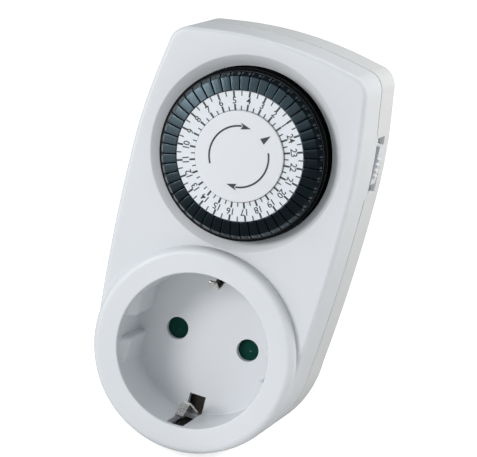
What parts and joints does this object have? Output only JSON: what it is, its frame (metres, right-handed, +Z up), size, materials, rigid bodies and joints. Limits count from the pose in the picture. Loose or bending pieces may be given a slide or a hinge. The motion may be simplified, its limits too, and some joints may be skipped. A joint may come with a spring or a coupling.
{
  "type": "plug-in timer switch",
  "caption": "Plug-in mechanical day timer: earthed pin plug behind, recessed socket in front, turning dial with push-in tabs, side slide switch.",
  "frame": {"origin": "where the plug's axis meets the rear face of the housing", "axes": "+X right, +Y into the wall along the plug's pins, +Z up from the socket to the dial"},
  "size_m": [0.0573, 0.0718, 0.1053],
  "materials": {
    "case": "fine moulded satin, cool white",
    "case_back": "fine moulded satin, slightly warmer white",
    "dial_grey": "dark grey moulded plastic",
    "ring_white": "white plastic with printed scale",
    "shutter_green": "dark green plastic",
    "nickel": "nickel plate",
    "steel": "plain steel",
    "brass": "rolled brass",
    "acetal": "natural acetal",
    "magnet": "dark ferrite",
    "copper": "enamelled copper wire",
    "insulator": "brown phenolic",
    "lead_blue": "soft wire insulation",
    "lever_orange": "orange acetal"
  },
  "bodies": {
    "housing": {"front_shell": "case", "rear_shell": "case_back", "housing_screws": "steel", "plug_pin_left": "nickel", "plug_pin_right": "nickel", "plug_earth_strip": "nickel", "socket_earth_strip": "nickel", "contact_left": "brass", "contact_right": "brass", "movement_plate": "steel", "dial_post": "steel", "gear_pins": "steel", "centre_cap": "ring_white", "motor_can": "steel", "motor_poles": "steel", "motor_bobbin": "acetal", "motor_winding": "copper", "motor_screws": "steel", "lever_pin": "steel", "switch_base": "insulator", "fixed_contact": "brass", "load_strap": "brass", "motor_leads": "lead_blue"},
    "dial": {"dial_wheel": "dial_grey", "printed_ring": "ring_white"},
    "drive": {"drive_pinion": "acetal", "clutch_spring": "steel"},
    "clutch": {"clutch_wheel": "brass"},
    "idler_1": {"idler_gear_1": "acetal"},
    "idler_2": {"idler_gear_2": "acetal"},
    "rotor": {"rotor_shaft": "steel", "rotor_magnet": "magnet"},
    "lever": {"follower_lever": "lever_orange"},
    "blade": {"moving_contact": "brass"},
    "shutter": {"shutter": "shutter_green"},
    "slider": {"slide_knob": "case"},
    "tab_pair_1": {"tab_pair_1": "dial_grey"},
    "tab_pair_2": {"tab_pair_2": "dial_grey"},
    "tab_pair_3": {"tab_pair_3": "dial_grey"},
    "tab_pair_4": {"tab_pair_4": "dial_grey"},
    "tab_pair_5": {"tab_pair_5": "dial_grey"},
    "tab_pair_6": {"tab_pair_6": "dial_grey"},
    "tab_pair_7": {"tab_pair_7": "dial_grey"},
    "tab_pair_8": {"tab_pair_8": "dial_grey"},
    "tab_pair_9": {"tab_pair_9": "dial_grey"},
    "tab_pair_10": {"tab_pair_10": "dial_grey"},
    "tab_pair_11": {"tab_pair_11": "dial_grey"},
    "tab_pair_12": {"tab_pair_12": "dial_grey"},
    "tab_pair_13": {"tab_pair_13": "dial_grey"},
    "tab_pair_14": {"tab_pair_14": "dial_grey"},
    "tab_pair_15": {"tab_pair_15": "dial_grey"},
    "tab_pair_16": {"tab_pair_16": "dial_grey"},
    "tab_pair_17": {"tab_pair_17": "dial_grey"},
    "tab_pair_18": {"tab_pair_18": "dial_grey"},
    "tab_pair_19": {"tab_pair_19": "dial_grey"},
    "tab_pair_20": {"tab_pair_20": "dial_grey"},
    "tab_pair_21": {"tab_pair_21": "dial_grey"},
    "tab_pair_22": {"tab_pair_22": "dial_grey"},
    "tab_pair_23": {"tab_pair_23": "dial_grey"},
    "tab_pair_24": {"tab_pair_24": "dial_grey"}
  },
  "joints": [
    {"name": "dial_turn", "type": "hinge", "parent": "housing", "child": "dial", "pos_m": [0, -0.02, 0.0506], "axis": [0, -1, 0], "continuous": true},
    {"name": "slide_switch", "type": "slide", "parent": "housing", "child": "slider", "axis": [0, 0, 1], "range_m": [-0.002, 0.002]},
    {"name": "tab_press_1", "type": "slide", "parent": "dial", "child": "tab_pair_1", "axis": [0, 1, 0], "range_m": [0, 0.0022]},
    {"name": "shutter_slide", "type": "slide", "parent": "housing", "child": "shutter", "axis": [0, 0, 1], "range_m": [0, 0.006], "stiffness_N_per_m": 20, "springref_m": -0.002},
    {"name": "lever_rock", "type": "hinge", "parent": "housing", "child": "lever", "pos_m": [0.01825, -0.0193, 0.063], "axis": [1, 0, 0], "range_deg": [0, 9.5]},
    {"name": "drive_turn", "type": "hinge", "parent": "housing", "child": "drive", "pos_m": [0.01233, -0.02, 0.02924], "axis": [0, -1, 0], "continuous": true},
    {"name": "rotor_spin", "type": "hinge", "parent": "housing", "child": "rotor", "pos_m": [-0.00905, -0.02, 0.04054], "axis": [0, -1, 0], "continuous": true},
    {"name": "idler_1_turn", "type": "hinge", "parent": "housing", "child": "idler_1", "pos_m": [-0.00055, -0.02, 0.03745], "axis": [0, -1, 0], "continuous": true},
    {"name": "idler_2_turn", "type": "hinge", "parent": "housing", "child": "idler_2", "pos_m": [0.00851, -0.02, 0.03745], "axis": [0, -1, 0], "continuous": true},
    {"name": "clutch_turn", "type": "hinge", "parent": "housing", "child": "clutch", "pos_m": [0.01233, -0.02, 0.02924], "axis": [0, -1, 0], "continuous": true},
    {"name": "contact_flex", "type": "hinge", "parent": "housing", "child": "blade", "pos_m": [0.01825, -0.0177, 0.0318], "axis": [1, 0, 0], "range_deg": [-12, 0]},
    {"name": "tab_press_2", "type": "slide", "parent": "dial", "child": "tab_pair_2", "axis": [0, 1, 0], "range_m": [0, 0.0022]},
    {"name": "tab_press_3", "type": "slide", "parent": "dial", "child": "tab_pair_3", "axis": [0, 1, 0], "range_m": [0, 0.0022]},
    {"name": "tab_press_4", "type": "slide", "parent": "dial", "child": "tab_pair_4", "axis": [0, 1, 0], "range_m": [0, 0.0022]},
    {"name": "tab_press_5", "type": "slide", "parent": "dial", "child": "tab_pair_5", "axis": [0, 1, 0], "range_m": [0, 0.0022]},
    {"name": "tab_press_6", "type": "slide", "parent": "dial", "child": "tab_pair_6", "axis": [0, 1, 0], "range_m": [0, 0.0022]},
    {"name": "tab_press_7", "type": "slide", "parent": "dial", "child": "tab_pair_7", "axis": [0, 1, 0], "range_m": [0, 0.0022]},
    {"name": "tab_press_8", "type": "slide", "parent": "dial", "child": "tab_pair_8", "axis": [0, 1, 0], "range_m": [0, 0.0022]},
    {"name": "tab_press_9", "type": "slide", "parent": "dial", "child": "tab_pair_9", "axis": [0, 1, 0], "range_m": [0, 0.0022]},
    {"name": "tab_press_10", "type": "slide", "parent": "dial", "child": "tab_pair_10", "axis": [0, 1, 0], "range_m": [0, 0.0022]},
    {"name": "tab_press_11", "type": "slide", "parent": "dial", "child": "tab_pair_11", "axis": [0, 1, 0], "range_m": [0, 0.0022]},
    {"name": "tab_press_12", "type": "slide", "parent": "dial", "child": "tab_pair_12", "axis": [0, 1, 0], "range_m": [0, 0.0022]},
    {"name": "tab_press_13", "type": "slide", "parent": "dial", "child": "tab_pair_13", "axis": [0, 1, 0], "range_m": [0, 0.0022]},
    {"name": "tab_press_14", "type": "slide", "parent": "dial", "child": "tab_pair_14", "axis": [0, 1, 0], "range_m": [0, 0.0022]},
    {"name": "tab_press_15", "type": "slide", "parent": "dial", "child": "tab_pair_15", "axis": [0, 1, 0], "range_m": [0, 0.0022]},
    {"name": "tab_press_16", "type": "slide", "parent": "dial", "child": "tab_pair_16", "axis": [0, 1, 0], "range_m": [0, 0.0022]},
    {"name": "tab_press_17", "type": "slide", "parent": "dial", "child": "tab_pair_17", "axis": [0, 1, 0], "range_m": [0, 0.0022]},
    {"name": "tab_press_18", "type": "slide", "parent": "dial", "child": "tab_pair_18", "axis": [0, 1, 0], "range_m": [0, 0.0022]},
    {"name": "tab_press_19", "type": "slide", "parent": "dial", "child": "tab_pair_19", "axis": [0, 1, 0], "range_m": [0, 0.0022]},
    {"name": "tab_press_20", "type": "slide", "parent": "dial", "child": "tab_pair_20", "axis": [0, 1, 0], "range_m": [0, 0.0022]},
    {"name": "tab_press_21", "type": "slide", "parent": "dial", "child": "tab_pair_21", "axis": [0, 1, 0], "range_m": [0, 0.0022]},
    {"name": "tab_press_22", "type": "slide", "parent": "dial", "child": "tab_pair_22", "axis": [0, 1, 0], "range_m": [0, 0.0022]},
    {"name": "tab_press_23", "type": "slide", "parent": "dial", "child": "tab_pair_23", "axis": [0, 1, 0], "range_m": [0, 0.0022]},
    {"name": "tab_press_24", "type": "slide", "parent": "dial", "child": "tab_pair_24", "axis": [0, 1, 0], "range_m": [0, 0.0022]}
  ],
  "couplings": [
    {"joint": "drive_turn", "follows": "dial_turn", "ratio": -7.2},
    {"joint": "idler_1_turn", "follows": "rotor_spin", "ratio": -0.25},
    {"joint": "idler_2_turn", "follows": "rotor_spin", "ratio": 0.0625},
    {"joint": "clutch_turn", "follows": "rotor_spin", "ratio": -0.015625},
    {"joint": "contact_flex", "follows": "lever_rock", "ratio": -1.2}
  ]
}
